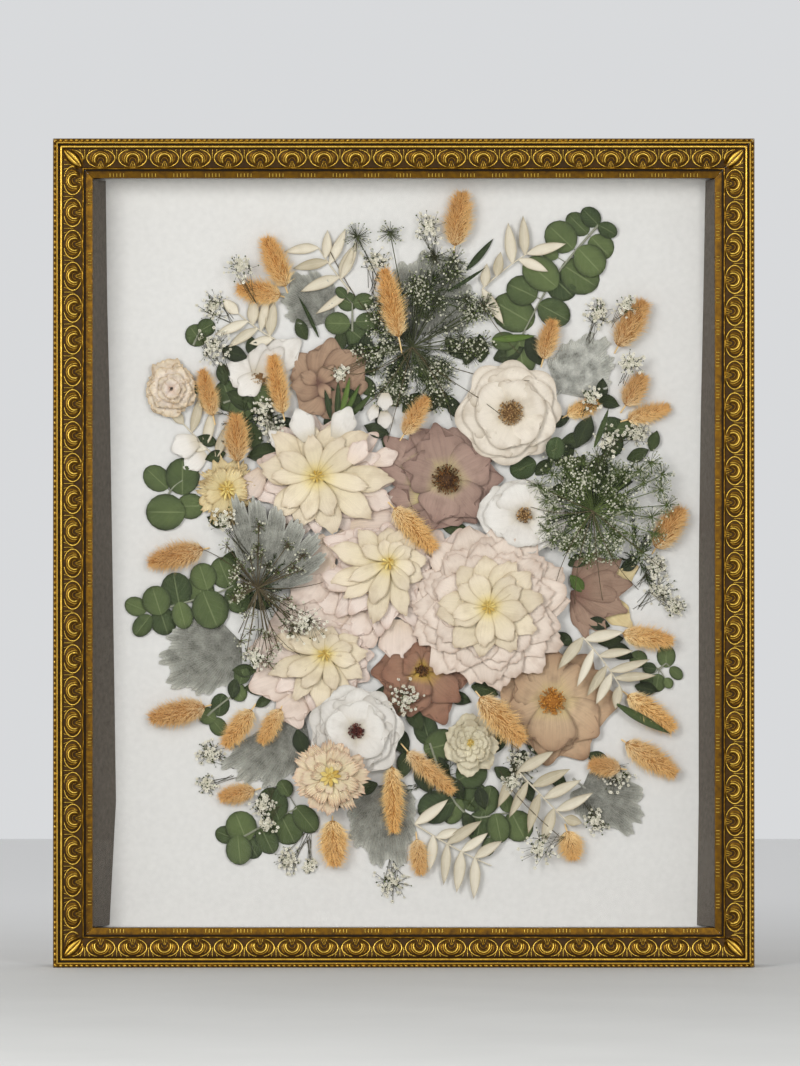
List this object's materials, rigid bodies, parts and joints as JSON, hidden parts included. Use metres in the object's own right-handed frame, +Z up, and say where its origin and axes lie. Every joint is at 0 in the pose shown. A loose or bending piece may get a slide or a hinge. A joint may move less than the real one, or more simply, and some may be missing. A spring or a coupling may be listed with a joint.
{
  "type": "pressed flower frame",
  "caption": "Gold ornamented shadow-box picture frame with a bouquet of pressed flowers, leaves and bunny tails on a white board behind glass.",
  "frame": {"origin": "middle of the underside of the whole frame as it stands on its bottom rail", "axes": "+Z up along the height, +X to the right of a viewer who looks at the glass, the front faces -Y"},
  "size_m": [0.5588, 0.0514, 0.6604],
  "materials": {
    "gilt": "antique gold leaf over carved composition on wood, dark patina in the recesses",
    "glass": "clear picture glass",
    "liner_card": "warm grey card strip",
    "white_board": "matt off-white mounting board",
    "hardboard": "brown hardboard",
    "hanger_steel": "zinc plated steel",
    "silver_leaf": "felted silver-grey dusty miller leaf",
    "green_leaf": "preserved sage green eucalyptus leaf",
    "bleached_leaf": "bleached ivory ruscus leaf",
    "umbel": "dried olive stems with cream florets",
    "tail_fluff": "soft tan hairs over a dried seed head",
    "mauve_petal": "pressed mauve petal, thin and matt",
    "taupe_petal": "pressed taupe petal, thin and matt",
    "ivory_petal": "pressed ivory petal, thin and matt",
    "blush_petal": "pressed blush petal, thin and matt",
    "cream_petal": "pressed cream petal, thin and matt"
  },
  "bodies": {
    "root": {"frame_rail_top": "gilt", "frame_rail_bottom": "gilt", "frame_rail_left": "gilt", "frame_rail_right": "gilt", "glass_pane": "glass", "backing_board": "white_board", "rear_cover": "hardboard", "liner_top": "liner_card", "liner_bottom": "liner_card", "liner_left": "liner_card", "liner_right": "liner_card", "sawtooth_hanger": "hanger_steel", "dusty_miller_top": "silver_leaf", "dusty_miller_right": "silver_leaf", "dusty_miller_left": "silver_leaf", "dusty_miller_low_left": "silver_leaf", "dusty_miller_low": "silver_leaf", "dusty_miller_low_right": "silver_leaf", "eucalyptus_top_right": "green_leaf", "eucalyptus_left": "green_leaf", "eucalyptus_mid_left": "green_leaf", "eucalyptus_low_left": "green_leaf", "eucalyptus_low": "green_leaf", "eucalyptus_top": "green_leaf", "ruscus_top": "bleached_leaf", "ruscus_mid_left": "bleached_leaf", "ruscus_top_right": "bleached_leaf", "ruscus_low": "bleached_leaf", "bunny_tail_top": "tail_fluff", "bunny_tail_upper_right": "tail_fluff", "bunny_tail_right": "tail_fluff", "bunny_tail_lower_right": "tail_fluff", "bunny_tail_low_right": "tail_fluff", "bunny_tail_left": "tail_fluff", "bunny_tail_low_left": "tail_fluff", "bunny_tail_low": "tail_fluff", "pink_hellebore": "mauve_petal", "pale_blossom": "ivory_petal", "dusky_fan": "mauve_petal", "dried_rose": "blush_petal", "small_dahlia_left": "cream_petal", "taupe_anemone": "taupe_petal", "terracotta_anemone": "mauve_petal", "mauve_anemone": "mauve_petal", "white_cosmos": "ivory_petal", "ivory_rose": "ivory_petal", "cream_dahlia": "cream_petal", "low_dahlia": "cream_petal", "primrose_dahlia": "cream_petal", "great_dahlia": "blush_petal", "spray_rose": "cream_petal", "white_rose": "ivory_petal", "button_dahlia": "cream_petal", "dusty_miller_middle": "silver_leaf", "ruscus_right": "bleached_leaf", "ruscus_low_right": "bleached_leaf", "lace_umbel_top": "umbel", "lace_umbel_right": "umbel", "lace_umbel_left": "umbel", "bunny_tail_middle": "tail_fluff"}
  },
  "joints": []
}
